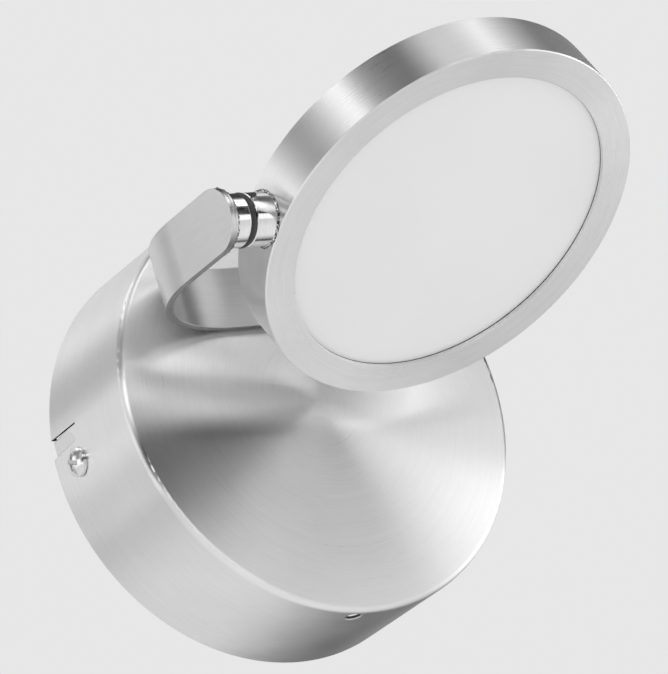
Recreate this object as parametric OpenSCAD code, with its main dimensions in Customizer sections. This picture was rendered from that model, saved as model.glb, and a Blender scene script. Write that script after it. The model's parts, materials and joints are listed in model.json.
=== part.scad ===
// Wall spotlight with a round canopy, a bent two-leaf arm and a disc head that turns on a friction swivel.
// Millimetres. The wall is the plane Y = 0, the light stands off towards -Y, +Z is up and +X is to the
// right as seen from the room. The origin is the centre of the wall bar's back face.

/* [Canopy] */
// Outer diameter of the canopy
canopy_d = 120; // [110:1:150]
// Depth of the canopy from the wall to its turned face
canopy_h = 40; // [38:1:60]
// Sheet thickness of the canopy
canopy_t = 1; // [0.8:0.1:1.6]
// Outer radius of the edge between face and side wall
canopy_edge_r = 1.5; // [1.2:0.1:3]
// Outer radius of the rear rim
rim_r = 1.2; // [0.8:0.1:1.4]
// Width of the lip that the rear rim turns inward
rim_lip = 0.8; // [0.6:0.1:1]
// Diameter of the drain hole
drain_d = 4.4; // [3:0.1:6]
// Distance of the drain hole's centre behind the turned face
drain_back = 3.7; // [3.5:0.1:12]
// Angle of the drain hole from the lowest point, towards -X
drain_turn = 6; // [0:1:20]

/* [Pressed pocket] */
// Distance of the slit above the side screw's centre
slit_rise = 10; // [9:0.5:14]
// Length of the slit from the rear rim
slit_len = 14; // [8:1:18]
// Width of the slit
slit_w = 0.5; // [0.3:0.1:1]
// Depth of the pressed pocket at the rear rim
pocket_depth = 1.9; // [0.6:0.1:2.1]
// Width of the pocket's flat floor below the slit
pocket_floor = 3.9; // [2:0.1:5]
// Width of the rounded shoulder below the floor
pocket_shoulder = 1.6; // [1:0.1:2.5]

/* [Side screws] */
// Thread diameter of the side screws
side_screw_d = 4; // [3:0.5:5]
// Head diameter of the side screws
side_head_d = 8; // [6:0.5:9]
// Head height of the side screws
side_head_h = 2.6; // [1.6:0.1:3.1]
// Turn of the cross recess, in degrees
recess_turn = 65; // [0:5:85]
// Shank length of the side screws
side_screw_len = 9; // [7:0.5:14]
// Distance of the side screws from the wall
side_screw_out = 12; // [9:0.5:14]
// Distance of the left screw below the middle, and of the right one above it
side_screw_drop = 1.2; // [0:0.1:2]

/* [Wall bar] */
// Width of the wall bar
bar_w = 22; // [18:1:30]
// Sheet thickness of the wall bar
bar_t = 1.5; // [1:0.1:2.5]
// Height of the bent ears from the wall
ear_h = 17.5; // [15:0.5:24]
// Width of the ears
ear_w = 16; // [12:1:18]
// Free space between the canopy's inner wall and the ears
ear_gap = 2.6; // [2.4:0.1:4]
// Outside radius of the bends
bar_bend_r = 3; // [2.6:0.1:5]
// Distance from the bend to the outer end of a wall slot
slot_inset = 7.4; // [5:0.1:10]
// Length of a wall slot
slot_len = 12; // [8:1:14]
// Width of a wall slot
slot_w = 4.5; // [4:0.1:5.5]
// Diameter of the centre hole for the house cable
cable_hole_d = 10.5; // [8:0.5:12]

/* [Terminal block] */
// Distance between poles
pole_pitch = 8; // [7:0.5:8]
// Number of poles
pole_count = 3; // [2:1:3]
// Width of the terminal block across the bar
block_w = 16; // [14:0.5:18]
// Height of the terminal block's lower step
block_h = 9; // [8:0.5:11]
// Height of the screw towers above the lower step
tower_h = 4.5; // [3:0.5:5]
// Distance of the block's first side from the bar's middle
block_x = 7; // [6.5:0.5:9]

/* [Driver] */
// Length of the driver case as a share of the canopy's diameter
driver_l_share = 0.5; // [0.4:0.01:0.52]
// Width of the driver case as a share of the canopy's diameter
driver_w_share = 0.28; // [0.2:0.01:0.29]
// Height of the driver case with its lid
driver_h = 19.5; // [15:0.5:21]
// Thickness of the driver's lid
driver_lid_t = 1.5; // [1:0.1:2.5]
// Corner radius of the driver case
driver_corner_r = 3; // [2:0.5:5]
// Thickness of the adhesive pad that holds the driver
pad_t = 1; // [0.5:0.1:2]
// Distance of the driver's upper side below the middle, as a share of the canopy's diameter
driver_drop_share = 0.1; // [0.09:0.01:0.11]

/* [Arm] */
// Width of the arm strip
arm_w = 17; // [15:0.5:22]
// Thickness of the outer leaf
outer_leaf_t = 1.2; // [1.1:0.05:1.8]
// Thickness of the inner leaf
inner_leaf_t = 0.8; // [0.6:0.05:1.4]
// Distance of the arm's leg inside the canopy's side, seen from the room
leg_inset = 2.8; // [0:0.1:5]
// Outer radius of the arm's bend
arm_bend_r = 37.2; // [30:0.1:38]
// Height of the arm's middle line above the canopy's middle
arm_rise = 30.3; // [24:0.1:34]
// Distance of the foot's end from the canopy's middle line
foot_end = 0; // [-2:0.5:0]
// Distance between the two studs of the foot
stud_pitch = 13; // [12:0.5:15]
// Diameter of the foot studs
stud_d = 4; // [3:0.5:4]

/* [Swivel] */
// Distance of the swivel axis from the wall
swivel_out = 96.5; // [96.5:0.5:110]
// Diameter of the two collars
collar_d = 14; // [12:0.5:15]
// Length of the collar fixed to the arm
arm_collar_len = 5.2; // [4:0.1:10]
// Thickness of the rubber ring between the collars
seal_t = 1.7; // [1:0.1:2.5]
// How far the rubber ring stands proud of the collars
seal_proud = 0.15; // [0:0.05:0.5]
// Diameter of the hollow swivel tube
tube_d = 6; // [5:0.5:6]
// Bore of the swivel tube
tube_bore_d = 3.8; // [3:0.1:4]
// Diameter of the bush's spigot in the head ring
spigot_d = 10; // [9.6:0.2:10.4]
// Diameter of the stop pin
stop_pin_d = 1; // [0.8:0.1:1.2]
// Width of the tab on the stop washer
stop_tab_w = 1.4; // [1:0.1:2]

/* [Head] */
// Outer diameter of the head
head_d = 110; // [100:1:110]
// Thickness of the head
head_t = 15; // [15:0.5:18]
// Diameter of the opening in front of the diffuser
opening_d = 93; // [83:1:93]
// Thickness of the bezel lip
lip_t = 1.2; // [0.8:0.1:1.6]
// Thickness of the head ring's side wall
ring_wall = 2; // [1.6:0.1:2.4]
// Chamfer on the head ring's two outer edges
ring_chamfer = 0.3; // [0.1:0.1:0.8]
// Downward tilt of the light from straight out of the wall, in degrees
head_tilt = 60; // [0:5:90]
// Distance from the head ring to the rubber ring: the visible length of the bush
bush_len = 6.2; // [5:0.1:8]

/* [Light inside the head] */
// Thickness of the diffuser
diffuser_t = 1.5; // [1:0.1:2]
// Thickness of the seal between lip and diffuser
diffuser_seal_t = 0.3; // [0.2:0.1:0.6]
// Thickness of the back cover
back_t = 1.5; // [1:0.1:2]
// Thickness of the heat spreader
spreader_t = 2; // [1.5:0.1:3]
// Thickness of the LED board
board_t = 1.6; // [1:0.1:2]
// Side of one LED
led_s = 3; // [2:0.1:3.5]
// Height of one LED
led_h = 0.8; // [0.5:0.1:1.2]
// Number of LED rings round the middle LED
led_rings = 3; // [1:1:3]
// Distance between LED rings
led_pitch = 13; // [10:0.5:13]

/* [Fits] */
// Radial clearance of the swivel tube in the bush
run_fit = 0.05; // [0.02:0.01:0.1]
// Clearance between pieces that turn past each other
run_gap = 0.1; // [0.05:0.05:0.3]
// Clearance round pieces that are brazed, screwed or laid in
seat_gap = 0.03; // [0.01:0.01:0.1]
// Clearance of a screw in its through hole, on the diameter
hole_gap = 0.4; // [0.2:0.1:0.8]

/* [Hidden] */
$fn = 96;
// Overrun of every cut past the face that it leaves
over = 1;

// Canopy
canopy_r = canopy_d / 2;
canopy_in_r = canopy_r - canopy_t;
face_in = canopy_h - canopy_t;
side_screw_r = side_screw_d / 2;
slit_y = slit_rise - side_screw_drop;
pocket_low = slit_y - pocket_floor - pocket_shoulder;
shoulder_steps = 6;
pocket_fade = slit_len + canopy_t;
pocket_lean = atan(pocket_depth / pocket_fade);

// Wall bar
ear_x = canopy_in_r - ear_gap;
bar_bend_in = bar_bend_r - bar_t;
bar_half = ear_x - bar_bend_r;
slot_pitch = 2 * (bar_half - slot_inset - slot_len / 2);
earth_x = -14;
earth_head_d = 7;
earth_head_h = 2.2;
earth_washer_d = 9;
earth_washer_t = 0.8;

// Screw heads
recess_w_share = 0.15;
recess_l_share = 0.58;
recess_h_share = 0.6;
dome_share = 0.62;

// Terminal block
block_l = pole_pitch * pole_count;
tower_share = 0.78;
tower_w = pole_pitch * tower_share;
tower_d = 10;
wire_hole_d = 3.2;
wire_hole_out = 4.8;
clamp_screw_d = 3;
clamp_screw_len = 3.2;
clamp_pitch = 5;
clamp_sink = 0.6;
clamp_slot_w = 0.6;
clamp_slot_h = 0.8;

// Driver
driver_l = canopy_d * driver_l_share;
driver_w = canopy_d * driver_w_share;
driver_drop = canopy_d * driver_drop_share;
driver_face = face_in - pad_t;
driver_back = driver_face - driver_h;
pad_share = 0.8;
lid_rib_w = 1;
lid_rib_h = 0.6;
lid_rib_count = 5;
lid_rib_share = 0.6;
lid_rib_pitch = 3;
lid_rib_x = driver_corner_r - driver_l / 2;

// Leads
mains_d = 2.2;
mains_bend = 5;
mains_drop = 10;
lead_d = 0.6;
lead_pitch = 1.6;
lead_side = lead_pitch / 2;
lead_inset = 2.5;
channel_w = 3;
channel_depth = 0.7;
lead_hole_d = 4.4;
grommet_wall = 0.6;
grommet_flange = 0.6;
grommet_flange_d = 5.2;

// Arm
arm_t = outer_leaf_t + seat_gap + inner_leaf_t;
arm_end_r = arm_w / 2;
leg_x = leg_inset - canopy_r;
bend_x = leg_x + arm_bend_r;
bend_out = canopy_h + arm_bend_r;
foot_round_x = foot_end - arm_end_r;
leg_in_x = leg_x + arm_t;
lead_line = channel_depth / 2;
stud_margin = 4;
stud_x = [foot_end - stud_margin, foot_end - stud_margin - stud_pitch];
lead_x = foot_end - stud_margin - stud_pitch / 2;
stud_len = 8;
washer_d = 7.2;
washer_t = 0.8;
nut_af = 6;
nut_h = 3;

// Swivel, as stations along X
arm_collar_end = leg_in_x + arm_collar_len;
seal_end = arm_collar_end + seal_t;
bush_start = seal_end + run_gap;
ring_x = bush_start + bush_len;
head_r = head_d / 2;
head_x = ring_x + head_r;
ring_in_r = head_r - ring_wall;
collar_r = collar_d / 2;
collar_edge = 0.25;
tube_r = tube_d / 2;
tube_flat = 0.6;
spigot_r = spigot_d / 2;
spigot_in = 0.6;
stop_washer_t = 1;
spring_t = 0.4;
spring_h = 0.8;
nut_len = 2.4;
nut_slot_w = 1;
nut_slot_h = 0.8;
tube_proud = 0.2;
bush_end = ring_x + ring_wall + spigot_in;
stop_end = bush_end + stop_washer_t;
spring_end = stop_end + spring_h;
ring_nut_end = spring_end + nut_len;
tube_end = ring_nut_end + tube_proud;
stop_hub_r = tube_r + stop_pin_d / 2;
stop_pin_at = stop_hub_r + run_gap + stop_pin_d / 2;
stop_tab_r = stop_pin_at + stop_pin_d / 2;
stop_pin_seat = 1;
stop_pin_run = stop_washer_t - run_gap;
ring_nut_wall = 1.2;
ring_nut_r = tube_r + ring_nut_wall;

// Head, as heights along its own axis
head_half = head_t / 2;
opening_r = opening_d / 2;
lip_under = head_half - lip_t;
diffuser_front = lip_under - diffuser_seal_t;
diffuser_rear = diffuser_front - diffuser_t;
back_in = -head_half + back_t;
spreader_top = back_in + spreader_t;
board_top = spreader_top + board_t;
shelf = 1.1;
diffuser_r = opening_r + shelf;
rim_w = 0.8;
rim_h = 1.2;
spreader_r = opening_r + shelf / 2;
board_r = opening_r - shelf / 2;
reflector_wall = 1;
reflector_foot_r = opening_r - 3 * reflector_wall;
lug_r = 2.9;
lug_sink_share = 0.1;
lug_at = ring_in_r - lug_r * (1 - lug_sink_share);
lug_angles = [0, 120, 240];
cover_gap = 0.2;
back_screw_d = 2;
back_screw_head_d = 3.8;
back_screw_len = 5;
board_screw_d = 2.5;
board_screw_head_d = 4.4;
board_screw_head_h = 1.4;
board_screw_at = led_pitch * (1 + 1 / 2);
board_screw_angles = [90, 210, 330];
lead_land = 4.5;
lead_slot_w = 4;

satin_nickel = [0.72, 0.72, 0.71];
turned_nickel = [0.78, 0.78, 0.77];
bright_nickel = [0.85, 0.85, 0.84];
zinc = [0.66, 0.67, 0.68];
rubber = [0.09, 0.09, 0.09];
white_plastic = [0.93, 0.93, 0.91];
opal = [0.96, 0.96, 0.95];
aluminium = [0.75, 0.76, 0.78];

// Frame of everything at the wall: x stays x, y is up, z is the distance from the wall
module wall() { rotate([90, 0, 0]) children(); }

// Frame of the swivel: z runs along +X from the wall bar's middle, on the swivel axis
module swivel() { translate([0, -swivel_out, arm_rise]) rotate([0, 90, 0]) children(); }

// Frame of the head: z is the way the light shines, the origin is the middle of the disc
module head() { translate([head_x, -swivel_out, arm_rise]) rotate([90 + head_tilt, 0, 0]) children(); }

// The same shape at both side screws
module both_sides() { for (turn = [0, 180]) rotate([0, 0, turn]) children(); }

// Ring of the given height between two radii
module ring(outer, inner, height) {
    difference() {
        cylinder(h = height, r = outer);
        translate([0, 0, -over]) cylinder(h = height + 2 * over, r = inner);
    }
}

// Rounded rectangle, centred, made of true arcs
module rounded_plate(length, width, corner, height) {
    linear_extrude(height) {
        square([length - 2 * corner, width], center = true);
        square([length, width - 2 * corner], center = true);
        for (sx = [-1, 1], sy = [-1, 1])
            translate([sx * (length / 2 - corner), sy * (width / 2 - corner)]) circle(corner);
    }
}

// Pan head with a cross recess, seated on z = 0 and rising along +z
module pan_head(diameter, height) {
    edge = height * (1 - dome_share);
    cap = height - edge;
    dome_r = (diameter * diameter / 4 + cap * cap) / (2 * cap);
    recess_w = diameter * recess_w_share;
    recess_l = diameter * recess_l_share;
    difference() {
        intersection() {
            cylinder(h = height, d = diameter);
            translate([0, 0, height - dome_r]) sphere(dome_r);
        }
        for (turn = [0, 90])
            rotate([0, 0, turn])
                translate([-recess_l / 2, -recess_w / 2, height * (1 - recess_h_share)])
                    cube([recess_l, recess_w, height]);
    }
}

// Wall side

module bar_outline() {
    difference() {
        translate([-bar_half, -bar_w / 2]) square([2 * bar_half, bar_w]);
        circle(d = cable_hole_d);
        for (side = [-1, 1])
            translate([side * slot_pitch / 2, 0]) {
                square([slot_len - slot_w, slot_w], center = true);
                for (end = [-1, 1]) translate([end * (slot_len - slot_w) / 2, 0]) circle(d = slot_w);
            }
        translate([earth_x, 0]) circle(d = side_screw_d + 2 * seat_gap);
    }
}

module ear() {
    // quarter bend, then the flat ear with its threaded hole
    translate([-bar_half, ear_w / 2, bar_bend_r])
        rotate([90, 0, 0])
            rotate([0, 0, 180])
                rotate_extrude(angle = 90)
                    translate([bar_bend_in, 0]) square([bar_t, ear_w]);
    difference() {
        translate([-ear_x, -ear_w / 2, bar_bend_r]) cube([bar_t, ear_w, ear_h - bar_bend_r]);
        translate([-ear_x - over, -side_screw_drop, side_screw_out])
            rotate([0, 90, 0]) cylinder(h = bar_t + 2 * over, r = side_screw_r + seat_gap);
    }
}

module wall_bar() {
    color(zinc) wall() {
        linear_extrude(bar_t) bar_outline();
        both_sides() ear();
    }
}

module earth_screw() {
    color("gold") wall() translate([earth_x, 0, 0]) {
        cylinder(h = bar_t + earth_washer_t, r = side_screw_r);
        translate([0, 0, bar_t]) cylinder(h = earth_washer_t, d = earth_washer_d);
        translate([0, 0, bar_t + earth_washer_t]) pan_head(earth_head_d, earth_head_h);
    }
}

module block_frame() { wall() translate([block_x, 0, bar_t]) children(); }

function pole_x(pole) = pole_pitch * (pole + 1 / 2);

module clamp_screw_place() {
    for (pole = [0 : pole_count - 1], side = [-1, 1])
        translate([pole_x(pole), side * clamp_pitch / 2, block_h + tower_h - clamp_sink - clamp_screw_len])
            children();
}

module terminal_block() {
    color(white_plastic) block_frame() difference() {
        union() {
            translate([0, -block_w / 2, 0]) cube([block_l, block_w, block_h]);
            for (pole = [0 : pole_count - 1])
                translate([pole_x(pole) - tower_w / 2, -tower_d / 2, 0])
                    cube([tower_w, tower_d, block_h + tower_h]);
        }
        for (pole = [0 : pole_count - 1])
            translate([pole_x(pole), block_w / 2 + over, wire_hole_out])
                rotate([90, 0, 0]) cylinder(h = block_w + 2 * over, d = wire_hole_d);
        clamp_screw_place()
            cylinder(h = clamp_screw_len + clamp_sink + over, d = clamp_screw_d + 2 * seat_gap);
    }
}

module terminal_screws() {
    color(zinc) block_frame() clamp_screw_place() difference() {
        cylinder(h = clamp_screw_len, d = clamp_screw_d);
        translate([-clamp_screw_d, -clamp_slot_w / 2, clamp_screw_len - clamp_slot_h])
            cube([2 * clamp_screw_d, clamp_slot_w, clamp_slot_h + over]);
    }
}

// Two leads from the block's lower side, down and round a quarter bend into the driver's lid
module mains_leads() {
    start_out = bar_t + wire_hole_out;
    bend_y = -block_w / 2 - mains_drop;
    color("saddlebrown") wall()
        for (pole = [0, 1])
            translate([block_x + pole_x(pole), 0, 0]) {
                translate([0, bend_y, start_out])
                    rotate([-90, 0, 0]) cylinder(h = -bend_y - clamp_pitch, d = mains_d);
                translate([0, bend_y, start_out + mains_bend])
                    rotate([0, -90, 180]) rotate([0, 0, 180]) rotate_extrude(angle = 90)
                        translate([mains_bend, 0]) circle(d = mains_d);
                translate([0, bend_y - mains_bend, start_out + mains_bend])
                    cylinder(h = driver_back - start_out - mains_bend, d = mains_d);
            }
}

// Driver behind the canopy's face

module driver_frame() { wall() translate([0, -driver_drop - driver_w / 2, 0]) children(); }

module driver_pad() {
    color("lightgrey") driver_frame() translate([0, 0, driver_face])
        rounded_plate(driver_l * pad_share, driver_w * pad_share, driver_corner_r, pad_t);
}

module driver_case() {
    color(white_plastic) driver_frame() translate([0, 0, driver_back + driver_lid_t])
        rounded_plate(driver_l, driver_w, driver_corner_r, driver_h - driver_lid_t);
}

module driver_lid() {
    color(white_plastic) driver_frame() translate([0, 0, driver_back]) difference() {
        rounded_plate(driver_l, driver_w, driver_corner_r, driver_lid_t);
        for (rib = [0 : lid_rib_count - 1])
            translate([lid_rib_x + rib * lid_rib_pitch, -driver_w * lid_rib_share / 2, -over])
                cube([lid_rib_w, driver_w * lid_rib_share, lid_rib_h + over]);
    }
}

// Canopy

module canopy_profile(outer, height, edge, rim) {
    square([outer - edge, height]);
    square([outer - rim, height - edge]);
    translate([0, rim]) square([outer, height - edge - rim]);
    translate([outer - edge, height - edge]) circle(edge);
    translate([outer - rim, rim]) circle(rim);
}

module canopy_cup() {
    inner_edge = canopy_edge_r - canopy_t;
    inner_rim = rim_r - rim_lip;
    difference() {
        rotate_extrude() intersection() {
            canopy_profile(canopy_r, canopy_h, canopy_edge_r, rim_r);
            square([canopy_r, canopy_h]);
        }
        translate([0, 0, rim_lip]) rotate_extrude() intersection() {
            canopy_profile(canopy_in_r, face_in - rim_lip, inner_edge, inner_rim);
            square([canopy_in_r, face_in - rim_lip]);
        }
        translate([0, 0, -over]) cylinder(h = rim_lip + 2 * over, r = canopy_in_r - rim_lip);
    }
}

// Pressing tool that leans out of the wall towards the face: moved in by the sheet it backs the pocket
module pressing(sheet) {
    slope = pocket_shoulder / pocket_depth;
    shoulder = [for (i = [0:shoulder_steps]) [
        pocket_depth * (1 + cos(180 * i / shoulder_steps)) / 2,
        slit_y - pocket_floor - pocket_shoulder * i / shoulder_steps
    ]];
    translate([-canopy_r, 0, 0]) rotate([0, -pocket_lean, 0]) translate([sheet, -sheet, -2 * over])
        linear_extrude(pocket_fade + 4 * over) polygon(concat(
            [[-canopy_t - sheet, slit_y + canopy_t + sheet], [pocket_depth, slit_y + canopy_t + sheet]],
            shoulder,
            [[-canopy_t - sheet, pocket_low - slope * (canopy_t + sheet)]]
        ));
}

// The side of the slit that is pressed in
module pocket_side() {
    translate([-canopy_r - over, -canopy_r, 0]) cube([canopy_r / 2, canopy_r + slit_y, pocket_fade]);
}

module canopy() {
    color(turned_nickel) wall() difference() {
        union() {
            canopy_cup();
            both_sides() intersection() {
                pressing(canopy_t);
                pocket_side();
                cylinder(h = pocket_fade, r = canopy_in_r + canopy_t / 2);
            }
        }
        both_sides() {
            intersection() {
                pressing(0);
                pocket_side();
            }
            translate([-canopy_r - over, slit_y, -over]) cube([canopy_r / 2, slit_w, slit_len + over]);
            translate([-canopy_r - over, -side_screw_drop, side_screw_out])
                rotate([0, 90, 0]) cylinder(h = canopy_r / 2, d = side_screw_d + hole_gap);
        }
        rotate([0, 0, -drain_turn]) translate([0, 0, canopy_h - drain_back])
            rotate([90, 0, 0]) cylinder(h = canopy_r + over, d = drain_d);
        for (x = stud_x)
            translate([x, arm_rise, face_in - over])
                cylinder(h = canopy_t + 2 * over, d = stud_d + hole_gap);
        translate([lead_x, arm_rise, face_in - over])
            cylinder(h = canopy_t + 2 * over, d = lead_hole_d + 2 * seat_gap);
    }
}

module side_screws() {
    color(bright_nickel) wall() both_sides() translate([-canopy_r, -side_screw_drop, side_screw_out]) {
        rotate([0, -90, 0]) rotate([0, 0, recess_turn]) pan_head(side_head_d, side_head_h);
        rotate([0, 90, 0]) cylinder(h = side_screw_len, r = side_screw_r);
    }
}

// Arm

// Leg, quarter bend and foot of one leaf seen along Z, from depth a to depth b inside the strip
module leaf_side(a, b) {
    translate([leg_x + a, -swivel_out - arm_w]) square([b - a, swivel_out + arm_w - bend_out]);
    intersection() {
        translate([bend_x, -bend_out]) difference() {
            circle(arm_bend_r - a);
            circle(arm_bend_r - b);
        }
        translate([leg_x, -bend_out]) square([arm_bend_r, arm_bend_r]);
    }
    translate([bend_x, -canopy_h - b]) square([foot_end - bend_x, b - a]);
}

// One leaf of the given width, rounded at the swivel and at the foot's end
module leaf(a, b, width) {
    end_r = width / 2;
    round_x = foot_round_x + (arm_w - width) / 2;
    intersection() {
        translate([0, 0, arm_rise - end_r]) linear_extrude(width) leaf_side(a, b);
        translate([leg_x - over, 0, arm_rise]) rotate([90, 0, 90])
            linear_extrude(foot_end - leg_x + 2 * over) {
                translate([-swivel_out, 0]) circle(end_r);
                translate([-swivel_out, -width]) square([swivel_out, 2 * width]);
            }
        translate([0, over - canopy_h, arm_rise]) rotate([90, 0, 0]) linear_extrude(swivel_out + arm_w) {
            translate([round_x, 0]) circle(end_r);
            translate([leg_x - over, -width]) square([round_x - leg_x + over, 2 * width]);
        }
    }
}

module arm_outer_leaf() {
    color(satin_nickel) difference() {
        leaf(0, outer_leaf_t, arm_w);
        // channel for the two leads, open towards the inner leaf
        intersection() {
            leaf(outer_leaf_t - channel_depth, outer_leaf_t + seat_gap, channel_w);
            translate([leg_x - over, -swivel_out - channel_w, arm_rise - channel_w])
                cube([lead_x + channel_w / 2 - leg_x + over, swivel_out + channel_w, 2 * channel_w]);
        }
        wall() translate([lead_x, arm_rise, canopy_h - over])
            cylinder(h = outer_leaf_t + over, d = channel_w);
    }
}

module arm_inner_leaf() {
    color(satin_nickel) difference() {
        leaf(outer_leaf_t + seat_gap, arm_t, arm_w);
        swivel() translate([0, 0, leg_x]) cylinder(h = arm_t + over, d = tube_bore_d);
    }
}

module foot_place() { wall() for (x = stud_x) translate([x, arm_rise, 0]) children(); }

module foot_studs() {
    color(zinc) foot_place() translate([0, 0, canopy_h - stud_len]) cylinder(h = stud_len, d = stud_d);
}

module foot_washers() {
    color(zinc) foot_place() translate([0, 0, face_in - washer_t])
        ring(washer_d / 2, stud_d / 2 + seat_gap, washer_t);
}

module foot_nuts() {
    color(zinc) foot_place() translate([0, 0, face_in - washer_t - nut_h]) difference() {
        cylinder(h = nut_h, d = nut_af / cos(30), $fn = 6);
        translate([0, 0, -over]) cylinder(h = nut_h + 2 * over, r = stud_d / 2 + seat_gap);
    }
}

module lead_grommet() {
    inner = lead_hole_d / 2 - grommet_wall;
    color(rubber) wall() translate([lead_x, arm_rise, 0]) {
        translate([0, 0, face_in - grommet_flange]) ring(grommet_flange_d / 2, inner, grommet_flange);
        translate([0, 0, face_in - seat_gap]) ring(lead_hole_d / 2, inner, canopy_t);
    }
}

// One lead: from the driver up the canopy's face, out through the foot, along the channel and into the tube
module arm_lead(side) {
    r = lead_d / 2;
    in_line = outer_leaf_t - lead_line;
    foot_line = canopy_h + in_line;
    leg_line = leg_x + in_line;
    start = driver_face - lead_inset;
    z = arm_rise + side * lead_side;
    translate([lead_x + side * lead_side, -start, -driver_drop]) cylinder(h = driver_drop + z, r = r);
    translate([lead_x + side * lead_side, -start, z]) {
        sphere(r);
        rotate([90, 0, 0]) cylinder(h = foot_line - start, r = r);
        translate([0, -foot_line + start, 0]) sphere(r);
    }
    translate([bend_x, -foot_line, z])
        rotate([0, 90, 0]) cylinder(h = lead_x + side * lead_side - bend_x, r = r);
    translate([bend_x, -bend_out, z])
        rotate([0, 0, 90]) rotate_extrude(angle = 90) translate([arm_bend_r - in_line, 0]) circle(r);
    translate([leg_line, -bend_out, z]) rotate([90, 0, 0]) cylinder(h = swivel_out - bend_out, r = r);
    translate([leg_line, -swivel_out, z]) {
        sphere(r);
        rotate([0, 90, 0]) cylinder(h = tube_end - leg_line, r = r);
    }
}

module arm_leads() { color("white") for (side = [-1, 1]) arm_lead(side); }

// Swivel

module collar_body(length) {
    translate([0, 0, collar_edge]) cylinder(h = length - 2 * collar_edge, r = collar_r);
    cylinder(h = collar_edge, r1 = collar_r - collar_edge, r2 = collar_r);
    translate([0, 0, length - collar_edge])
        cylinder(h = collar_edge, r1 = collar_r, r2 = collar_r - collar_edge);
}

module arm_collar() {
    color(bright_nickel) swivel() translate([0, 0, leg_in_x]) difference() {
        union() {
            collar_body(arm_collar_len);
            cylinder(h = collar_edge, r = collar_r);
        }
        translate([0, 0, -over]) cylinder(h = arm_collar_len + 2 * over, r = tube_r + seat_gap);
    }
}

module swivel_tube() {
    color(zinc) swivel() difference() {
        translate([0, 0, leg_in_x]) cylinder(h = tube_end - leg_in_x, r = tube_r);
        translate([0, 0, leg_in_x - over]) cylinder(h = tube_end - leg_in_x + 2 * over, d = tube_bore_d);
        // flat that keys the stop washer
        translate([tube_r - tube_flat, -tube_r, bush_end])
            cube([tube_r, tube_d, tube_end - bush_end + over]);
    }
}

module joint_seal() {
    bulge = seal_t / 2;
    seal_r = collar_r + seal_proud;
    color(rubber) swivel() translate([0, 0, arm_collar_end]) rotate_extrude() intersection() {
        translate([tube_r + run_gap, 0]) square([seal_r - tube_r - run_gap, seal_t]);
        union() {
            square([seal_r - bulge, seal_t]);
            translate([seal_r - bulge, bulge]) circle(bulge);
        }
    }
}

module stop_washer() {
    color(zinc) swivel() translate([0, 0, bush_end]) difference() {
        union() {
            cylinder(h = stop_washer_t, r = stop_hub_r);
            intersection() {
                cylinder(h = stop_washer_t, r = stop_tab_r);
                translate([0, -stop_tab_w / 2, 0]) cube([stop_tab_r, stop_tab_w, stop_washer_t]);
            }
        }
        difference() {
            translate([0, 0, -over]) cylinder(h = stop_washer_t + 2 * over, r = tube_r + seat_gap);
            translate([tube_r - tube_flat + seat_gap, -tube_r, -2 * over])
                cube([tube_r, tube_d, stop_washer_t + 4 * over]);
        }
    }
}

// Dished spring washer
module spring_washer() {
    in_r = tube_r + run_gap;
    color(zinc) swivel() translate([0, 0, stop_end]) rotate_extrude()
        polygon([
            [in_r, 0], [in_r, spring_t], [ring_nut_r, spring_h], [ring_nut_r, spring_h - spring_t]
        ]);
}

module swivel_nut() {
    color(zinc) swivel() translate([0, 0, spring_end]) difference() {
        cylinder(h = nut_len, r = ring_nut_r);
        translate([0, 0, -over]) cylinder(h = nut_len + 2 * over, r = tube_r + seat_gap);
        translate([-ring_nut_r - over, -nut_slot_w / 2, nut_len - nut_slot_h])
            cube([2 * (ring_nut_r + over), nut_slot_w, nut_slot_h + over]);
    }
}

// Head

module ring_section() {
    rim_r = diffuser_r + seat_gap;
    polygon([
        [opening_r, lip_under], [opening_r, head_half], [head_r - ring_chamfer, head_half],
        [head_r, head_half - ring_chamfer], [head_r, ring_chamfer - head_half],
        [head_r - ring_chamfer, -head_half], [ring_in_r, -head_half], [ring_in_r, lip_under],
        [rim_r + rim_w, lip_under], [rim_r + rim_w, lip_under - rim_h],
        [rim_r, lip_under - rim_h], [rim_r, lip_under]
    ]);
}

module lug_place() { for (angle = lug_angles) rotate([0, 0, angle]) translate([lug_at, 0, 0]) children(); }

module head_ring() {
    color(satin_nickel) difference() {
        head() difference() {
            union() {
                rotate_extrude() ring_section();
                intersection() {
                    lug_place() translate([0, 0, back_in])
                        cylinder(h = board_top - seat_gap - back_in, r = lug_r);
                    cylinder(h = head_t, r = ring_in_r + ring_wall / 2, center = true);
                }
            }
            lug_place() translate([0, 0, -head_half])
                cylinder(h = back_screw_len + hole_gap, r = back_screw_d / 2 + seat_gap);
        }
        swivel() translate([0, 0, ring_x - over])
            cylinder(h = ring_wall + 2 * over, r = spigot_r + seat_gap);
    }
}

// Collar with a saddle face that sits on the round head, and a spigot through the ring's wall
module head_bush() {
    color(bright_nickel) difference() {
        union() {
            difference() {
                swivel() translate([0, 0, bush_start]) {
                    translate([0, 0, collar_edge]) cylinder(h = bush_len + collar_edge, r = collar_r);
                    cylinder(h = collar_edge, r1 = collar_r - collar_edge, r2 = collar_r);
                }
                head() cylinder(h = 2 * head_t, r = head_r + seat_gap, center = true);
            }
            swivel() translate([0, 0, ring_x - over])
                cylinder(h = ring_wall + spigot_in + over, r = spigot_r);
        }
        swivel() translate([0, 0, bush_start - over])
            cylinder(h = bush_end - bush_start + 2 * over, r = tube_r + run_fit);
        head() pin_shape(stop_pin_d / 2 + seat_gap, over);
    }
}

// Pin in the bush: opposite the stop washer's tab when the light shines straight out
module pin_shape(radius, past) {
    translate([bush_end - stop_pin_seat - head_x, stop_pin_at, 0])
        rotate([0, 90, 0]) cylinder(h = stop_pin_seat + stop_pin_run + past, r = radius);
}

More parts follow.
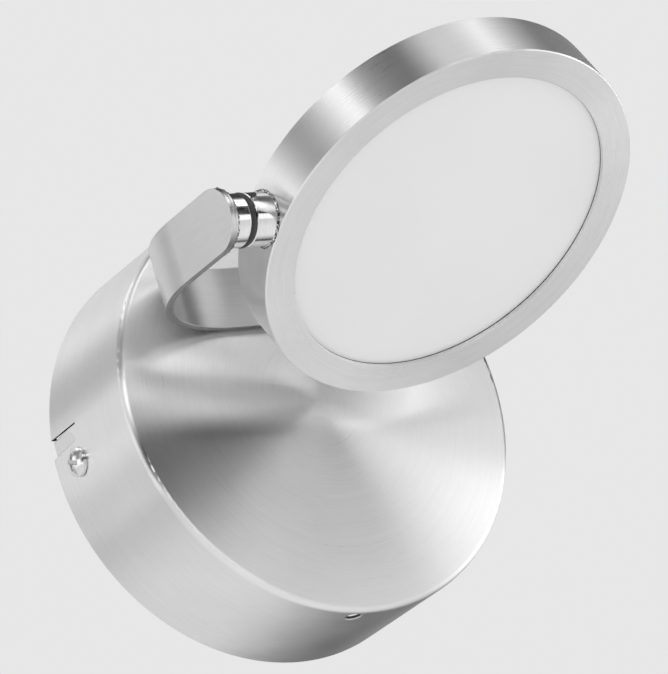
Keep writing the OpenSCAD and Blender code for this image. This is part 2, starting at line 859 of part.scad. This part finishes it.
module stop_pin() { color(zinc) head() pin_shape(stop_pin_d / 2, 0); }

module back_cover() {
    color(satin_nickel) head() translate([0, 0, -head_half]) difference() {
        cylinder(h = back_t, r = ring_in_r - cover_gap);
        lug_place() {
            translate([0, 0, -over]) cylinder(h = back_t + 2 * over, d = back_screw_d + hole_gap / 2);
            countersink(seat_gap);
        }
    }
}

module countersink(gap) {
    sink = (back_screw_head_d - back_screw_d) / 2;
    translate([0, 0, -over]) cylinder(h = over, d = back_screw_head_d + 2 * gap);
    cylinder(h = sink, d1 = back_screw_head_d + 2 * gap, d2 = back_screw_d + 2 * gap);
}

module back_screws() {
    sink = (back_screw_head_d - back_screw_d) / 2;
    color(zinc) head() translate([0, 0, -head_half]) lug_place() difference() {
        union() {
            cylinder(h = sink, d1 = back_screw_head_d, d2 = back_screw_d);
            cylinder(h = back_screw_len, d = back_screw_d);
        }
        for (turn = [0, 90])
            rotate([0, 0, turn]) translate([-back_screw_d / 2, -back_screw_d * recess_w_share, -over])
                cube([back_screw_d, 2 * back_screw_d * recess_w_share, sink * recess_h_share + over]);
    }
}

module board_holes(diameter) {
    for (angle = board_screw_angles)
        rotate([0, 0, angle]) translate([board_screw_at, 0, -over]) cylinder(h = head_t, d = diameter);
}

module heat_spreader() {
    color(aluminium) head() translate([0, 0, back_in]) difference() {
        cylinder(h = spreader_t, r = spreader_r);
        board_holes(board_screw_d + 2 * seat_gap);
    }
}

module led_board() {
    color("white") head() translate([0, 0, spreader_top]) difference() {
        cylinder(h = board_t, r = board_r);
        board_holes(board_screw_d + hole_gap);
    }
}

module leds() {
    color("khaki") head() translate([0, 0, board_top]) {
        translate([-led_s / 2, -led_s / 2, 0]) cube([led_s, led_s, led_h]);
        for (r = [1 : led_rings], k = [0 : 6 * r - 1])
            rotate([0, 0, (k + 1 / 2) * 60 / r]) translate([r * led_pitch - led_s / 2, -led_s / 2, 0])
                cube([led_s, led_s, led_h]);
    }
}

module board_screws() {
    color(zinc) head()
        for (angle = board_screw_angles)
            rotate([0, 0, angle]) translate([board_screw_at, 0, 0]) {
                translate([0, 0, back_in]) cylinder(h = board_top - back_in, d = board_screw_d);
                translate([0, 0, board_top]) pan_head(board_screw_head_d, board_screw_head_h);
            }
}

// White cup that throws the light forward and presses the diffuser against its seal
module reflector() {
    top = diffuser_rear - board_top;
    color("white") head() translate([0, 0, board_top]) difference() {
        rotate_extrude() polygon([
            [reflector_foot_r, 0], [opening_r - reflector_wall, 0], [opening_r - reflector_wall, top / 2],
            [diffuser_r, top - reflector_wall], [diffuser_r, top], [opening_r - reflector_wall, top]
        ]);
        // way in for the two leads
        translate([-head_r, -lead_slot_w / 2, -over])
            cube([head_r / 2, lead_slot_w, over - board_top + lead_slot_w / 2]);
    }
}

module diffuser_seal() {
    color(rubber) head() translate([0, 0, diffuser_front]) ring(diffuser_r, opening_r, diffuser_seal_t);
}

module diffuser() {
    color(opal) head() translate([0, 0, diffuser_rear]) cylinder(h = diffuser_t, r = diffuser_r);
}

// Leads from the tube's mouth to their pads on the board
module head_leads() {
    r = lead_d / 2;
    start = tube_end - head_x;
    land = lead_land - opening_r;
    color("white") head() for (side = [-1, 1]) translate([0, side * lead_side, 0]) {
        translate([start, 0, 0]) rotate([0, 90, 0]) cylinder(h = land - start, r = r);
        translate([land, 0, 0]) sphere(r);
        translate([land, 0, board_top]) cylinder(h = -board_top, r = r);
    }
}

wall_bar();
earth_screw();
terminal_block();
terminal_screws();
mains_leads();
driver_pad();
driver_case();
driver_lid();
canopy();
side_screws();
arm_outer_leaf();
arm_inner_leaf();
foot_studs();
foot_washers();
foot_nuts();
lead_grommet();
arm_leads();
arm_collar();
swivel_tube();
joint_seal();
stop_washer();
spring_washer();
swivel_nut();
head_ring();
head_bush();
stop_pin();
back_cover();
back_screws();
heat_spreader();
led_board();
leds();
board_screws();
reflector();
diffuser_seal();
diffuser();
head_leads();
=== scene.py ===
import bpy
import bmesh
import json
import math
import random
from mathutils import Matrix, Vector, noise


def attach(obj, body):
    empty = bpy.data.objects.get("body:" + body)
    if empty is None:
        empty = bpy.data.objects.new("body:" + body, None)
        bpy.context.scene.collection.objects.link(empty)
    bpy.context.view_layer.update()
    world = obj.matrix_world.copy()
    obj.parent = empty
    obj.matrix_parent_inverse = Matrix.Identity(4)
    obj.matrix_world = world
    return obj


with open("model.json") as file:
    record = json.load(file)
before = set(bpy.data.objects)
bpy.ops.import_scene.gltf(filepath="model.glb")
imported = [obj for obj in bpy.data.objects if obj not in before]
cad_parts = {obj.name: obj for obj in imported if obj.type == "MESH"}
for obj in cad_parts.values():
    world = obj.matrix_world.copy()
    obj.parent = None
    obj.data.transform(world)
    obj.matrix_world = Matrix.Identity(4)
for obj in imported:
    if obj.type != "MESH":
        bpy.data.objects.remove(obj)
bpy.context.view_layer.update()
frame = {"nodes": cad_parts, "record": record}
nodes = frame["nodes"]
print("frame loaded:", len(nodes), "nodes")

# places and directions that several pieces share, in metres: X to the right, Y into the wall, Z up
headCentre = (0.01303, -0.0965, 0.0303)
headAxis = (0.0, -0.5, -0.866025)
swivelPoint = (-0.042, -0.0965, 0.0303)
wallAxis = (0.0, -1.0, 0.0)
swivelAxis = (1.0, 0.0, 0.0)


# small helpers

def linear(hexColour):
    parts = [int(hexColour[i:i + 2], 16) / 255 for i in (1, 3, 5)]
    return [c / 12.92 if c <= 0.04045 else ((c + 0.055) / 1.055) ** 2.4 for c in parts] + [1.0]


def addNode(tree, kind, settings=None, inputs=None):
    made = tree.nodes.new("ShaderNode" + kind)
    for key, value in (settings or {}).items():
        setattr(made, key, value)
    for key, value in (inputs or {}).items():
        if isinstance(value, bpy.types.NodeSocket):
            tree.links.new(value, made.inputs[key])
        else:
            made.inputs[key].default_value = value
    return made


def maths(tree, operation, a, b=0.0):
    return addNode(tree, "Math", {"operation": operation}, {0: a, 1: b}).outputs[0]


def vector(tree, operation, a, b=(0.0, 0.0, 0.0)):
    made = addNode(tree, "VectorMath", {"operation": operation}, {0: a, 1: b})
    return made.outputs["Value" if operation in ("DOT_PRODUCT", "LENGTH") else "Vector"]


def remap(tree, value, low, high, toLow, toHigh):
    return addNode(tree, "MapRange", {}, {0: value, 1: low, 2: high, 3: toLow, 4: toHigh}).outputs[0]


def noiseOf(tree, where, scale, detail, rough=0.5):
    return addNode(tree, "TexNoise", {"noise_dimensions": "3D"},
                   {"Vector": where, "Scale": scale, "Detail": detail, "Roughness": rough}).outputs[0]


def mixColour(tree, factor, a, b):
    return addNode(tree, "Mix", {"data_type": "RGBA"}, {0: factor, 6: a, 7: b}).outputs[2]


def emptyTree(owner):
    owner.use_nodes = True
    owner.node_tree.nodes.clear()
    return owner.node_tree


def startMaterial(name):
    made = bpy.data.materials.new(name)
    tree = emptyTree(made)
    shader = addNode(tree, "BsdfPrincipled")
    addNode(tree, "OutputMaterial", {}, {"Surface": shader.outputs[0]})
    return made, tree, shader


def addObject(name, data):
    made = bpy.data.objects.new(name, data)
    bpy.context.scene.collection.objects.link(made)
    return made


def metalMaterial(name, look):
    made, tree, shader = startMaterial(name)
    place = addNode(tree, "TexCoord")
    point, normal = place.outputs["Object"], place.outputs["Normal"]
    fineness = 1 / look["grooveSpacing"]
    if look["lay"] == "turned":
        # grooves run round the axis: their height depends on the radius and on the place along the axis
        offset = vector(tree, "SUBTRACT", point, look["centre"])
        along = vector(tree, "DOT_PRODUCT", offset, look["axis"])
        radius = vector(tree, "LENGTH", vector(tree, "CROSS_PRODUCT", offset, look["axis"]))
        drift = maths(tree, "MULTIPLY", noiseOf(tree, point, look["driftPerMetre"], look["driftDetail"]),
                      look["driftAmount"])
        where = addNode(tree, "CombineXYZ", {}, {0: radius, 1: along, 2: drift}).outputs[0]
        turning = vector(tree, "CROSS_PRODUCT", look["axis"], offset)
        across = vector(tree, "CROSS_PRODUCT", turning, normal)
    else:
        # grooves run along the strip, so the height changes quickly across it and slowly along it
        where = vector(tree, "MULTIPLY", point, look["stretch"])
        across = addNode(tree, "CombineXYZ", {}, dict(enumerate(look["across"]))).outputs[0]
    grooves = noiseOf(tree, where, fineness, look["grooveDetail"], look["grooveMix"])
    tangent = addNode(tree, "VectorTransform",
                      {"vector_type": "VECTOR", "convert_from": "OBJECT", "convert_to": "WORLD"}, {0: across})
    tree.links.new(tangent.outputs[0], shader.inputs["Tangent"])
    cloud = noiseOf(tree, point, look["cloudPerMetre"], look["cloudDetail"])
    blend = maths(tree, "ADD", maths(tree, "MULTIPLY", grooves, look["grooveShare"]),
                  maths(tree, "MULTIPLY", cloud, 1 - look["grooveShare"]))
    share = remap(tree, blend, 0.5 - look["spread"], 0.5 + look["spread"], 0.0, 1.0)
    colour = mixColour(tree, share, linear(look["dark"]), linear(look["light"]))
    rough = remap(tree, blend, *look["roughFrom"], look["smooth"], look["rough"])
    if look["cutEdgeShade"]:
        # painted shade: the strip's two long punched edges are coloured darker
        lie = addNode(tree, "SeparateXYZ", {}, {0: vector(tree, "ABSOLUTE", normal)})
        cutEdgeShadeShare = remap(tree, lie.outputs[2], *look["cutFrom"], 0.0, 1.0)
        colour = mixColour(tree, cutEdgeShadeShare, colour, linear(look["cutEdgeShade"]))
    if look["inside"]:
        # the sheet's inside and its holes' walls are raw and duller, and their colour is darkened as painted shade
        # where they look neither outwards nor forwards
        outwards = vector(tree, "NORMALIZE", vector(tree, "CROSS_PRODUCT", look["axis"], turning))
        facing = maths(tree, "MULTIPLY", vector(tree, "DOT_PRODUCT", normal, outwards), -1.0)
        ahead = vector(tree, "DOT_PRODUCT", normal, look["axis"])
        ahead = maths(tree, "MULTIPLY", ahead, maths(tree, "GREATER_THAN", along, look["roundDepth"]))
        rawAndPaintedShade = maths(tree, "LESS_THAN", radius, look["insideRadius"])
        rawAndPaintedShade = maths(tree, "MULTIPLY", rawAndPaintedShade, maths(tree, "LESS_THAN", along, look["insideDepth"]))
        seenShare = maths(tree, "MAXIMUM", facing, ahead)
        rawAndPaintedShade = maths(tree, "MULTIPLY", rawAndPaintedShade, maths(tree, "LESS_THAN", seenShare, look["insideTurn"]))
        # painted shade: the hidden walls get the dark #6c6c6c colour
        colour = mixColour(tree, rawAndPaintedShade, colour, linear(look["inside"]))
        rough = maths(tree, "MAXIMUM", rough, maths(tree, "MULTIPLY", rawAndPaintedShade, look["insideRough"]))
    tree.links.new(colour, shader.inputs["Base Color"])
    tree.links.new(rough, shader.inputs["Roughness"])
    shader.inputs["Metallic"].default_value = 1.0
    shader.inputs["Anisotropic"].default_value = look["anisotropy"]
    edge = addNode(tree, "Bevel", {"samples": look["edgeSamples"]}, {"Radius": look["edgeRound"]})
    smoothed = edge.outputs[0]
    if look["crown"]:
        # a spun face is never quite flat: it falls a little towards its rim
        fall = maths(tree, "MULTIPLY", maths(tree, "MULTIPLY", radius, radius), -look["crown"])
        smoothed = addNode(tree, "Bump", {}, {"Strength": 1.0, "Distance": 1.0, "Height": fall,
                                              "Normal": smoothed}).outputs[0]
    bump = addNode(tree, "Bump", {}, {"Strength": look["bump"], "Distance": look["grooveDepth"], "Height": grooves,
                                      "Normal": smoothed})
    tree.links.new(bump.outputs[0], shader.inputs["Normal"])
    return made


def plainMaterial(name, look):
    made, tree, shader = startMaterial(name)
    point = addNode(tree, "TexCoord").outputs["Object"]
    grain = noiseOf(tree, point, 1 / look["grain"], look["grainDetail"])
    cloud = noiseOf(tree, point, look["cloudPerMetre"], look["cloudDetail"])
    share = remap(tree, cloud, *look["cloudFrom"], 0.0, 1.0)
    rough = remap(tree, grain, *look["roughFrom"], look["smooth"], look["rough"])
    colour = mixColour(tree, share, linear(look["dark"]), linear(look["light"]))
    tree.links.new(colour, shader.inputs["Base Color"])
    tree.links.new(rough, shader.inputs["Roughness"])
    shader.inputs["IOR"].default_value = look["ior"]
    edge = addNode(tree, "Bevel", {"samples": look["edgeSamples"]}, {"Radius": look["edgeRound"]})
    bump = addNode(tree, "Bump", {}, {"Strength": look["bump"], "Distance": look["grainDepth"], "Height": grain,
                                      "Normal": edge.outputs[0]})
    tree.links.new(bump.outputs[0], shader.inputs["Normal"])
    return made


# metals: lengths in metres, grooves a little coarser than real so that they show at this image size

turnedBase = {
    "lay": "turned", "centre": (0.0, 0.0, 0.0), "axis": wallAxis,
    "driftPerMetre": 30.0, "driftAmount": 0.004, "driftDetail": 1.0,
    "grooveSpacing": 0.00035, "grooveDepth": 0.00001, "grooveDetail": 4.0, "grooveMix": 0.65, "grooveShare": 0.6,
    "cloudPerMetre": 55.0, "cloudDetail": 3.0, "dark": "#e6e6e6", "light": "#f0f0f0", "spread": 0.15,
    "smooth": 0.32, "rough": 0.37, "roughFrom": (0.3, 0.7), "anisotropy": 1.0,
    "bump": 0.10, "crown": 0.0, "edgeRound": 0.0004, "edgeSamples": 6, "cutEdgeShade": "", "inside": "",
}
# the canopy's raw part, duller and darkened with painted shade, lies within insideRadius and insideDepth; beyond
# roundDepth only the face looks forwards
canopyBase = dict(turnedBase, crown=1.4, bump=0.12, smooth=0.27, rough=0.32, inside="#6c6c6c", insideRough=0.5,
                  insideRadius=0.0597, insideDepth=0.0396, roundDepth=0.0384, insideTurn=0.5)
headBase = dict(turnedBase, centre=headCentre, axis=headAxis, smooth=0.27, rough=0.29, bump=0.04,
                edgeRound=0.00015)
# the strip's punched edges get the darker #8e8e8e colour as painted shade
stripBase = dict(turnedBase, lay="straight", stretch=(0.03, 0.03, 1.0), across=(0.0, 0.0, 1.0), anisotropy=0.45,
                 grooveMix=0.6, dark="#d0d0d0", light="#d9d9d9", smooth=0.3, rough=0.33, bump=0.015,
                 cutEdgeShade="#8e8e8e", cutFrom=(0.6, 0.85))
collarBase = dict(turnedBase, centre=swivelPoint, axis=swivelAxis, dark="#dedede", light="#f0f0f0", smooth=0.06,
                  rough=0.2, anisotropy=0.3, bump=0.03, cloudPerMetre=260.0)
coverBase = dict(headBase, smooth=0.32, rough=0.4)
screwBase = dict(stripBase, cutEdgeShade="", stretch=(1.0, 1.0, 1.0), dark="#d6d6d6", light="#f0f0f0", smooth=0.08,
                 rough=0.16, anisotropy=0.0, bump=0.08, edgeRound=0.0002)
zincBase = dict(screwBase, dark="#a4a8ad", light="#c9cccf", smooth=0.26, rough=0.42, cloudPerMetre=220.0)
aluminiumBase = dict(screwBase, dark="#b4b6b9", light="#d2d3d5", smooth=0.3, rough=0.45, bump=0.2)
brazeBase = dict(screwBase, spread=0.05, dark="#2c2c2c", light="#f0f0f0", smooth=0.08, rough=0.3, bump=0.5,
                 cloudPerMetre=1300.0, grooveDepth=0.00008, grooveSpacing=0.0006)
brassBase = dict(screwBase, dark="#b08d4f", light="#d8b878", smooth=0.16, rough=0.3)

# plastics, rubber and the light's own parts
opalLook = {
    "grain": 0.0004, "grainDetail": 3.0, "grainDepth": 0.00001, "bump": 0.05,
    "cloudPerMetre": 14.0, "cloudDetail": 2.0, "cloudFrom": (0.35, 0.65), "dark": "#f0f0f0", "light": "#f4f4f4",
    "smooth": 0.3, "rough": 0.38, "roughFrom": (0.3, 0.7), "edgeRound": 0.0002, "edgeSamples": 4, "ior": 1.49,
}
rubberLook = dict(opalLook, dark="#2a2a2a", light="#3c3c3c", smooth=0.42, rough=0.55, bump=0.2, grainDepth=0.00003)
plasticLook = dict(opalLook, dark="#dadad6", light="#e6e6e2", smooth=0.38, rough=0.5, bump=0.25, grainDepth=0.00003)
foamLook = dict(rubberLook, dark="#6f6f6f", light="#868686", smooth=0.8, rough=0.95, grain=0.0006)
leadLook = dict(opalLook, dark="#d8d8d4", light="#e8e8e4", smooth=0.25, rough=0.35)
boardLook = dict(opalLook, dark="#dedfdb", light="#efefec", smooth=0.22, rough=0.3)
phosphorLook = dict(opalLook, dark="#d9b84a", light="#efd46a", smooth=0.15, rough=0.25)
reflectorLook = dict(opalLook, dark="#e8e8e6", light="#f2f2f0", smooth=0.25, rough=0.35)

materials = {
    "satin_nickel_turned": metalMaterial("satin nickel turned", canopyBase),  # wedges on the canopy's face
    "satin_nickel_head": metalMaterial("satin nickel brushed round", headBase),  # bands along the head's side
    "satin_nickel_brushed": metalMaterial("satin nickel brushed lengthwise", stripBase),  # long soft streaks
    "satin_nickel_cover": metalMaterial("satin nickel turned disc", coverBase),  # the back cover's wedges
    "polished_nickel": metalMaterial("polished nickel", collarBase),  # sharp light and dark lines on the collars
    "bright_nickel": metalMaterial("bright nickel screw", screwBase),  # sparkle of the screw heads
    "zinc_plated": metalMaterial("zinc plated steel", zincBase),  # cloudy blue-grey of plated sheet
    "aluminium": metalMaterial("mill finish aluminium", aluminiumBase),  # dull silver
    "braze": metalMaterial("braze metal", brazeBase),  # speckled dark and bright marks round the joints
    "brass": metalMaterial("plain brass", brassBase),  # warm spot of the earth screw
    "opal_acrylic": plainMaterial("opal acrylic satin", opalLook),  # even pale disc
    "black_rubber": plainMaterial("matte black rubber", rubberLook),  # dark ring between the collars
    "white_plastic": plainMaterial("white moulded plastic", plasticLook),  # fine moulded texture
    "adhesive_foam": plainMaterial("grey foam tape", foamLook),  # open cells on the pad's edge
    "lead_insulation": plainMaterial("lead insulation", leadLook),  # slightly glossy extrusion
    "board_white": plainMaterial("white solder resist", boardLook),  # glossy board
    "led_phosphor": plainMaterial("led phosphor", phosphorLook),  # yellow squares
    "reflector_white": plainMaterial("white reflector", reflectorLook),  # bright inside wall
}
ownMaterial = {"head_ring": "satin_nickel_head", "back_cover": "satin_nickel_cover"}
slotOf = {part["node"]: part["material_slot"] for part in frame["record"]["subparts"]}
for name, piece in nodes.items():
    piece.data.materials.clear()
    piece.data.materials.append(materials[ownMaterial.get(name, slotOf[name])])
print("materials given to", len(nodes), "nodes")


# braze beads, uneven as a torch leaves them: collar to strip, and bush to the head's side
beadValues = {
    "braze_bead": {"body": "wall_side", "radius": 0.0070, "leg": 0.0015, "uneven": 0.35, "lumpsAround": 6.0,
                   "pits": 0.00022, "seed": 7},
    "bush_bead": {"body": "head", "radius": 0.0070, "leg": 0.0006, "uneven": 0.5, "lumpsAround": 2.5,
                  "pits": 0.00012, "seed": 12},
}
# both beads: steps round and across, share and count of the fine lumps, thinnest share of the leg, pits around
beadShared = {"stations": 300, "sides": 8, "fineShare": 0.6, "fineTimes": 4, "thinnest": 0.25, "pitsAround": 22.0,
              "sunk": 0.0001, "noiseShift": 9, "stripFace": -0.05517, "headRadius": 0.055}


def surfaceAt(body, across, up):
    # x of the strip's flat face, or of the head's round side, at this place beside the swivel's axis
    if body == "wall_side":
        return beadShared["stripFace"]
    above = swivelPoint[2] + up - headCentre[2]
    behind = swivelPoint[1] + across - headCentre[1]
    fromAxis = above * headAxis[1] - behind * headAxis[2]
    return headCentre[0] - math.sqrt(beadShared["headRadius"] ** 2 - fromAxis ** 2)


def beadMesh(name, values):
    random.seed(values["seed"])
    shift = Vector([random.random() * beadShared["noiseShift"] for axis in range(3)])
    toward = 1.0 if values["body"] == "wall_side" else -1.0
    stations, sides, sunk = beadShared["stations"], beadShared["sides"], beadShared["sunk"]
    inner = values["radius"] - sunk
    mesh = bmesh.new()
    rings = []
    for i in range(stations):
        turn = 2 * math.pi * i / stations
        radial = Vector((0.0, math.cos(turn), math.sin(turn)))
        coarse = radial * values["lumpsAround"]
        lump = noise.noise(coarse + shift)
        lump += beadShared["fineShare"] * noise.noise(coarse * beadShared["fineTimes"] + shift)
        leg = values["leg"] * max(beadShared["thinnest"], 1 + values["uneven"] * lump)
        ring = []
        for k in range(sides + 1):
            # concave quarter between the two surfaces
            a = math.pi / 2 * k / sides
            out = inner + leg * (1 - math.sin(a)) + sunk
            face = surfaceAt(values["body"], radial.y * out, radial.z * out)
            rise = toward * leg * (1 - math.cos(a))
            hollow = abs(noise.noise(radial * beadShared["pitsAround"] + shift * k))
            pit = hollow * values["pits"] * math.sin(2 * a)
            spot = Vector((face + rise - toward * pit, swivelPoint[1], swivelPoint[2])) + radial * (out - pit)
            ring.append(mesh.verts.new(spot))
        face = surfaceAt(values["body"], radial.y * inner, radial.z * inner)
        ring.append(mesh.verts.new(Vector((face, swivelPoint[1], swivelPoint[2])) + radial * inner))
        rings.append(ring)
    for i, ring in enumerate(rings):
        after = rings[(i + 1) % len(rings)]
        for k in range(len(ring)):
            m = (k + 1) % len(ring)
            mesh.faces.new((ring[k], after[k], after[m], ring[m]))
    bmesh.ops.recalc_face_normals(mesh, faces=mesh.faces)
    data = bpy.data.meshes.new(name)
    mesh.to_mesh(data)
    mesh.free()
    for face in data.polygons:
        face.use_smooth = True
    bead = addObject(name, data)
    data.materials.append(materials["braze"])
    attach(bead, values["body"])


for name, values in beadValues.items():
    beadMesh(name, values)
print("braze beads made:", len(beadValues))

# camera: long lens, from below left
cameraValues = {
    "place": (-0.7907, -1.1120, -0.3763), "right": (0.8156, -0.5090, -0.2754), "up": (0.0679, -0.3884, 0.9190),
    "back": (-0.5747, -0.7682, -0.2822), "lens": 280.24, "sensor": 36.0, "nearest": 0.05, "farthest": 100.0,
}
camera = addObject("camera", bpy.data.cameras.new("camera"))
turn = Matrix((cameraValues["right"], cameraValues["up"], cameraValues["back"])).transposed().to_4x4()
camera.matrix_world = Matrix.Translation(cameraValues["place"]) @ turn
camera.data.lens = cameraValues["lens"]
camera.data.sensor_width = cameraValues["sensor"]
camera.data.sensor_fit = "HORIZONTAL"
camera.data.clip_start = cameraValues["nearest"]
camera.data.clip_end = cameraValues["farthest"]
bpy.context.scene.camera = camera

# soft boxes that light the plastics and the floor: way from the target, distance in metres, size, watts
lampValues = {
    "boxLeft": {"way": (-0.62, -0.50, 0.60), "long": (0.6, -0.8, 0.0), "far": 1.9, "size": (1.6, 0.9),
                "power": 15.0},
    "boxRight": {"way": (0.45, -0.62, 0.64), "long": (0.8, 0.6, 0.0), "far": 1.9, "size": (1.2, 0.8),
                 "power": 10.5},
}
target = Vector((0.0, -0.06, 0.0))
for name, values in lampValues.items():
    lamp = bpy.data.lights.new(name, "AREA")
    lamp.shape = "RECTANGLE"
    lamp.size, lamp.size_y = values["size"]
    lamp.energy = values["power"]
    holder = addObject(name, lamp)
    back = Vector(values["way"]).normalized()
    side = Vector(values["long"])
    side = (side - back * side.dot(back)).normalized()
    facing = Matrix((side, back.cross(side), back)).transposed().to_4x4()
    holder.matrix_world = Matrix.Translation(target + back * values["far"]) @ facing
    holder.visible_glossy = False
print("camera and lamps placed")

# curved cards round the wall light, which only the metal reflects: cards are bright and flags dimmer;
# azimuth from the room side towards +X and elevation in degrees, soft is the share of each half that fades out;
# a card with a smaller far, in metres, lies on top
cardValues = {
    "cardRound": {"az": (-138, 138), "el": (-17, 17), "soft": (0.32, 0.12), "level": 1.25, "far": 1.60},
    "cardRight": {"az": (55, 115), "el": (-34, 42), "soft": (0.27, 0.90), "level": 2.40, "far": 1.57},
    "cardFront": {"az": (-176, 106), "el": (-4, 90), "soft": (0.70, 0.77), "level": 2.50, "far": 1.54},
    "flagLow": {"az": (-84, 13), "el": (-15, 20), "soft": (0.30, 0.70), "level": 0.01, "far": 1.51},
    "flagRoom": {"az": (-9, 42), "el": (1, 25), "soft": (0.12, 0.12), "level": 0.03, "far": 1.48},
    "flagTop": {"az": (-78, 52), "el": (53, 90), "soft": (0.12, 0.12), "level": 0.01, "far": 1.45},
    "flagRight": {"az": (4, 88), "el": (19, 35), "soft": (0.12, 0.20), "level": 0.01, "far": 1.42},
    "flagLeft": {"az": (-182, -25), "el": (3, 61), "soft": (0.85, 0.49), "level": 0.28, "far": 1.39},
    "flagBehind": {"az": (86, 186), "el": (-67, 22), "soft": (0.85, 0.55), "level": 0.01, "far": 1.36},
    "flagUpper": {"az": (-75, 3), "el": (26, 74), "soft": (0.69, 0.20), "level": 0.01, "far": 1.33},
    "flagSide": {"az": (-166, -130), "el": (-29, 30), "soft": (0.85, 0.50), "level": 0.45, "far": 1.30},
    "flagCorner": {"az": (-87, -62), "el": (12, 38), "soft": (0.85, 0.60), "level": 0.60, "far": 1.27},
    "flagArm": {"az": (51, 165), "el": (0, 90), "soft": (0.59, 0.15), "level": 0.06, "far": 1.24},
    "cardBack": {"az": (-150, -92), "el": (1, 36), "soft": (0.85, 0.60), "level": 1.35, "far": 1.21},
}
cardSteps = 24


def softCard(name, values):
    (azLow, azHigh), (elLow, elHigh) = values["az"], values["el"]
    corners, spots, faces = [], [], []
    for i in range(cardSteps + 1):
        for k in range(cardSteps + 1):
            u, v = i / cardSteps, k / cardSteps
            az = math.radians(azLow + u * (azHigh - azLow))
            el = math.radians(elLow + v * (elHigh - elLow))
            way = Vector((math.sin(az) * math.cos(el), -math.cos(az) * math.cos(el), math.sin(el)))
            corners.append(target + way * values["far"])
            spots.append((u, v))
    for i in range(cardSteps):
        for k in range(cardSteps):
            a = i * (cardSteps + 1) + k
            faces.append((a, a + 1, a + cardSteps + 2, a + cardSteps + 1))
    data = bpy.data.meshes.new(name)
    data.from_pydata(corners, [], faces)
    layer = data.uv_layers.new(name="spread")
    for loop in data.loops:
        layer.data[loop.index].uv = spots[loop.vertex_index]
    card = addObject(name, data)
    made = bpy.data.materials.new(name)
    made.cycles.emission_sampling = "NONE"
    tree = emptyTree(made)
    spot = addNode(tree, "SeparateXYZ", {}, {0: addNode(tree, "UVMap", {"uv_map": "spread"}).outputs[0]})
    cover = []
    for axis in (0, 1):
        # 0 in the card's middle, 1 at its edge
        out = maths(tree, "SUBTRACT", maths(tree, "MULTIPLY", spot.outputs[axis], 2.0), 1.0)
        out = maths(tree, "ABSOLUTE", out)
        fade = addNode(tree, "MapRange", {"interpolation_type": "SMOOTHSTEP"},
                       {0: out, 1: 1.0 - values["soft"][axis], 2: 1.0, 3: 1.0, 4: 0.0})
        cover.append(fade.outputs[0])
    glow = addNode(tree, "Emission", {}, {"Color": linear("#ffffff"), "Strength": values["level"]})
    clear = addNode(tree, "BsdfTransparent")
    both = addNode(tree, "MixShader", {}, {0: maths(tree, "MULTIPLY", cover[0], cover[1]), 1: clear.outputs[0],
                                           2: glow.outputs[0]})
    addNode(tree, "OutputMaterial", {}, {"Surface": both.outputs[0]})
    data.materials.append(made)
    for sort in ("camera", "diffuse", "shadow", "transmission"):
        setattr(card, "visible_" + sort, False)


for name, values in cardValues.items():
    softCard(name, values)
print("cards placed:", len(cardValues))

# room: one pale tone for the camera, for metal and through clear parts, and an even grey for diffuse light
roomValues = {"background": "#e7e7e7", "ambient": 0.86}
world = bpy.data.worlds.new("studio")
bpy.context.scene.world = world
tree = emptyTree(world)
path = addNode(tree, "LightPath")
seen = maths(tree, "MAXIMUM", path.outputs["Is Camera Ray"],
             maths(tree, "MAXIMUM", path.outputs["Is Glossy Ray"], path.outputs["Is Transmission Ray"]))
ambient = [roomValues["ambient"]] * 3 + [1.0]
shown = mixColour(tree, seen, ambient, linear(roomValues["background"]))
light = addNode(tree, "Background", {}, {"Color": shown, "Strength": 1.0})
addNode(tree, "OutputWorld", {}, {"Surface": light.outputs[0]})

# pale floor far below the wall light
floorValues = {"half": 40.0, "height": -1.4, "colour": "#eeeeee", "rough": 0.9}
half, low = floorValues["half"], floorValues["height"]
corners = [(-half, -half, low), (half, -half, low), (half, half, low), (-half, half, low)]
floorMesh = bpy.data.meshes.new("floor")
floorMesh.from_pydata(corners, [], [(0, 1, 2, 3)])
floor = addObject("floor", floorMesh)
floorMaterial, tree, shader = startMaterial("pale floor")
shader.inputs["Base Color"].default_value = linear(floorValues["colour"])
shader.inputs["Roughness"].default_value = floorValues["rough"]
floorMesh.materials.append(floorMaterial)

bpy.context.scene.view_settings.view_transform = "Standard"
print("scene ready")
